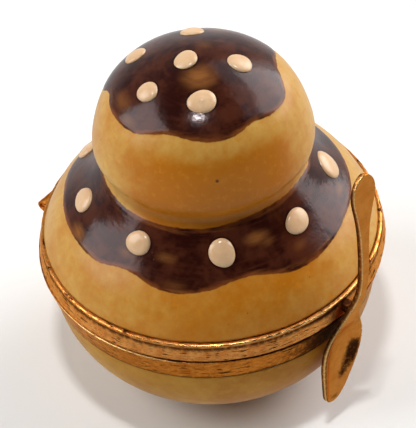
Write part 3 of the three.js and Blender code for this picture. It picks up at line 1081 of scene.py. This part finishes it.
def addBump(tree, shader, height, distance):
    bump = addNode(tree, "ShaderNodeBump", {"Height": height, "Distance": distance * mm, "Strength": 1.0})
    tree.links.new(bump.outputs["Normal"], shader.inputs["Normal"])


glaze = {
    "light": (0.62, 0.38, 0.09, 1),
    "deep": (0.465, 0.15, 0.004, 1),
    "freckle": (0.56, 0.21, 0.015, 1),
    "paintedFoldShade": (0.3, 0.12, 0.012, 1),
    "speck": (0.05, 0.02, 0.01, 1),
    "brownDark": (0.023, 0.0038, 0.0022, 1),
    "brownMid": (0.068, 0.0165, 0.0072, 1),
    "brownThin": (0.28, 0.105, 0.026, 1),
    "brownEdge": (0.22, 0.06, 0.014, 1),
    "paintedDotShadow": (0.012, 0.004, 0.003, 1),
    "bowlLight": (0.56, 0.30, 0.05, 1),
    "bowlDeep": (0.38, 0.135, 0.005, 1),
    "cream": (0.74, 0.50, 0.295, 1),
    "creamShade": (0.66, 0.385, 0.195, 1),
    "white": (0.82, 0.79, 0.72, 1),
    "whiteShade": (0.76, 0.72, 0.62, 1),
    "lidSheen": (1, 0.87, 0.89, 1),
    "bowlSheen": (1, 0.8, 0.6, 1),
}
foldAt = 16.1  # mm above the split: the crease under the ball, where a darker line of painted shade runs in the yellow

# Small dark faults in the lid's glaze: azimuth, height above the split, radius, depth of tone.
pits = [
    (227, 24, 0.24, 0.8), (191, 12.6, 0.13, 0.9), (193, 11.9, 0.1, 0.8), (188.5, 11.5, 0.11, 0.9),
    (196, 12.4, 0.1, 0.7), (194.5, 11.3, 0.09, 0.8), (190, 10.6, 0.1, 0.8), (198, 11.6, 0.12, 0.9),
    (186, 10.2, 0.08, 0.7), (232, 6.1, 0.1, 0.8), (258, 7.3, 0.09, 0.6), (150, 24, 0.12, 0.5),
]


def pitShare(tree, place):
    share = None
    for azimuth, height, radius, depth in pits:
        x, y, z = onLid(azimuth, height)
        rows = {0: place, 1: (x, y, z + split)}
        away = addNode(tree, "ShaderNodeVectorMath", rows, operation="DISTANCE").outputs["Value"]
        spot = between(tree, away, radius * 0.5, radius * 1.4, depth, 0.0)
        share = spot if share is None else math2(tree, "MAXIMUM", share, spot)
    return share


# The stored painted shade, turned into a lean of the yellow towards its deep tone.
def paintedShadeLean(tree):
    return between(tree, stored(tree, "paintedFrontShade"), 0.0, 1.0, *paintedFrontShade["lean"])


def lidGlaze():
    finish, tree, shader, place = newFinish("lidGlaze")
    yellow = useGroup(tree, cloudyColour, {
        "Coordinates": place, "Scale": 0.13, "Light": glaze["light"], "Deep": glaze["deep"],
        "Lean": paintedShadeLean(tree),
    }).outputs["Color"]
    flaws = useGroup(tree, glazeFlaws, {"Coordinates": place, "Scale": 0.3, "Share": 0.035})
    freckles = between(tree, noiseIn(tree, place, 1.1, 3.0, 0.6), 0.5, 0.72, 0.0, 0.6)
    yellow = blend(tree, freckles, yellow, glaze["freckle"])
    # Painted shade: the yellow darkens in a band along the crease under the ball.
    level = addNode(tree, "ShaderNodeSeparateXYZ", {"Vector": place}).outputs["Z"]
    fromFold = math2(tree, "ABSOLUTE", math2(tree, "SUBTRACT", level, split + foldAt), 0.0)
    foldShadeShare = between(tree, fromFold, 0.1, 1.0, 0.5, 0.0)
    yellow = blend(tree, foldShadeShare, yellow, glaze["paintedFoldShade"])
    yellow = blend(tree, flaws.outputs["Specks"], yellow, glaze["speck"])

    inside = stored(tree, "icing")
    ragged = noiseIn(tree, place, 1.1, 2.0, 0.5)
    inside = math2(tree, "ADD", inside, between(tree, ragged, 0.2, 0.8, -0.07, 0.07))
    covered = between(tree, inside, -0.06, 0.14)
    strokes = noiseIn(tree, stretched(tree, place, (0.22, 0.22, 2.2)), 1.0, 4.0, 0.6)
    cloud = noiseIn(tree, place, 0.3, 3.0, 0.6)
    bristles = noiseIn(tree, stretched(tree, place, (0.4, 0.4, 4.2)), 1.0, 3.0, 0.6)
    bristles = between(tree, bristles, 0.32, 0.66, 0.65, 1.0)
    thin = math2(tree, "MULTIPLY", stored(tree, "thinPaint"), bristles)
    worn = between(tree, inside, 0.1, 1.3, 0.45, 0.0)
    worn = math2(tree, "MULTIPLY", worn, between(tree, strokes, 0.46, 0.66))
    thin = math2(tree, "MAXIMUM", thin, worn)
    brown = blend(tree, between(tree, cloud, 0.38, 0.66), glaze["brownDark"], glaze["brownMid"])
    brown = blend(tree, between(tree, strokes, 0.46, 0.72, 0.0, 0.55), brown, glaze["brownMid"])
    brown = blend(tree, thin, brown, glaze["brownThin"])
    reddened = between(tree, noiseIn(tree, place, 0.24, 2.0), 0.36, 0.56, 0.0, 0.75)
    reddened = math2(tree, "MULTIPLY", between(tree, inside, 0.1, 0.9, 1.0, 0.0), reddened)
    brown = blend(tree, reddened, brown, glaze["brownEdge"])
    # Painted shadow: the brown darkens in a thin ring round each dot.
    dotShadowShare = between(tree, stored(tree, "dotGap"), 0.0, 0.4, 0.8, 0.0)
    brown = blend(tree, dotShadowShare, brown, glaze["paintedDotShadow"])
    painted = blend(tree, covered, yellow, brown)
    spots = pitShare(tree, place)
    fillInputs(tree, shader, {
        "Base Color": blend(tree, spots, painted, glaze["speck"]),
        "Roughness": between(tree, covered, 0.0, 1.0, 0.33, 0.165),
        "Specular IOR Level": 0.28,
        "Specular Tint": glaze["lidSheen"],
    })
    brushed = math2(tree, "MULTIPLY", math2(tree, "MULTIPLY", strokes, covered), 0.2)
    height = math2(tree, "SUBTRACT", math2(tree, "ADD", flaws.outputs["Height"], brushed), spots)
    addBump(tree, shader, height, 0.03)
    return finish


def bowlGlaze():
    finish, tree, shader, place = newFinish("bowlGlaze")
    tan = useGroup(tree, cloudyColour, {
        "Coordinates": place, "Scale": 0.14, "Light": glaze["bowlLight"],
        "Deep": glaze["bowlDeep"], "Lean": paintedShadeLean(tree),
    }).outputs["Color"]
    flaws = useGroup(tree, glazeFlaws, {"Coordinates": place, "Scale": 0.28, "Share": 0.04})
    fillInputs(tree, shader, {
        "Base Color": blend(tree, flaws.outputs["Specks"], tan, glaze["speck"]),
        "Roughness": 0.45,
        "IOR": 1.35,
        "Specular IOR Level": 0.2,
        "Specular Tint": glaze["bowlSheen"],
    })
    addBump(tree, shader, flaws.outputs["Height"], 0.035)
    return finish


def whiteGlaze():
    finish, tree, shader, place = newFinish("whiteGlaze")
    clouds = between(tree, noiseIn(tree, place, 0.2, 3.0), 0.4, 0.7)
    tone = blend(tree, clouds, glaze["white"], glaze["whiteShade"])
    fillInputs(tree, shader, {"Base Color": tone, "Roughness": 0.22})
    flaws = useGroup(tree, glazeFlaws, {"Coordinates": place, "Scale": 0.3, "Share": 0.03})
    addBump(tree, shader, flaws.outputs["Height"], 0.03)
    return finish


def creamEnamel():
    finish, tree, shader, place = newFinish("creamEnamel")
    tone = useGroup(tree, cloudyColour, {
        "Coordinates": place, "Scale": 0.5, "Light": glaze["cream"], "Deep": glaze["creamShade"],
        "Lean": -0.08,
    }).outputs["Color"]
    fillInputs(tree, shader, {"Base Color": tone, "Roughness": 0.22})
    addBump(tree, shader, noiseIn(tree, place, 1.6, 3.0), 0.03)
    return finish


gilt = {
    "light": (1.0, 0.43, 0.11, 1),
    "deep": (0.84, 0.29, 0.06, 1),
    # dark tarnish, also the colour of painted shade on the brass
    "tarnishAndShade": (0.07, 0.02, 0.008, 1),
    # pale worn gilt, also the colour of painted highlights on rubbed edges
    "paleWearAndHighlight": (1.0, 0.66, 0.26, 1),
    "lowLight": (0.84, 0.29, 0.045, 1),
    "lowDeep": (0.64, 0.18, 0.02, 1),
    "spoonLight": (0.86, 0.33, 0.065, 1),
    "spoonDeep": (0.78, 0.27, 0.045, 1),
    "edgeTint": (1.0, 0.78, 0.5, 1),
}


def brassFinish(name, light, deep, strokes):
    finish, tree, shader, place = newFinish(name)
    worn = useGroup(tree, wornGilt, {
        "Coordinates": place, "Light": light, "Deep": deep, "TarnishAndShade": gilt["tarnishAndShade"],
        "Bright": gilt["paleWearAndHighlight"], "Strokes": strokes,
        "GrimeAndShade": stored(tree, "grimeAndShade"), "RubbedAndHighlit": stored(tree, "rubbedAndHighlit"),
    })
    fillInputs(tree, shader, {
        "Base Color": worn.outputs["Color"],
        "Roughness": worn.outputs["Roughness"],
        "Metallic": 1,
        "Specular Tint": gilt["edgeTint"],
    })
    addBump(tree, shader, worn.outputs["Height"], 0.05)
    return finish


def coverLid(piece, outer, inner):
    piece.data.materials.append(outer)
    piece.data.materials.append(inner)
    for polygon in piece.data.polygons:
        x, y, z = polygon.center / mm
        height = z - split
        within = math.hypot(x, y) < lidRadius(height) - lid["wall"] / 2
        polygon.material_index = int(within or height < lid["outline"][-1][1])


def coverBowl(piece, outer, inner):
    piece.data.materials.append(outer)
    piece.data.materials.append(inner)
    for polygon in piece.data.polygons:
        out = Vector((polygon.center.x, polygon.center.y, 0))
        facesIn = polygon.normal.dot(out) < 0 or polygon.normal.z > 0.7
        underneath = polygon.center.z < 0.7 * mm
        polygon.material_index = int(facesIn or underneath)


innerGlaze = whiteGlaze()
coverLid(lidPorcelain, lidGlaze(), innerGlaze)
coverBowl(bowlPorcelain, bowlGlaze(), innerGlaze)
enamel = creamEnamel()
for dot in dots:
    dot.data.materials.append(enamel)
ringBrass = brassFinish("ringBrass", gilt["light"], gilt["deep"], 1.0)
lowBrass = brassFinish("lowBrass", gilt["lowLight"], gilt["lowDeep"], 1.0)
spoonBrass = brassFinish("spoonBrass", gilt["spoonLight"], gilt["spoonDeep"], 0.12)
lidBezel.data.materials.append(ringBrass)
for piece in (baseBezel, *hingePieces):
    piece.data.materials.append(lowBrass)
for piece in (spoonClasp, claspLug):
    piece.data.materials.append(spoonBrass)
print("finishes set")
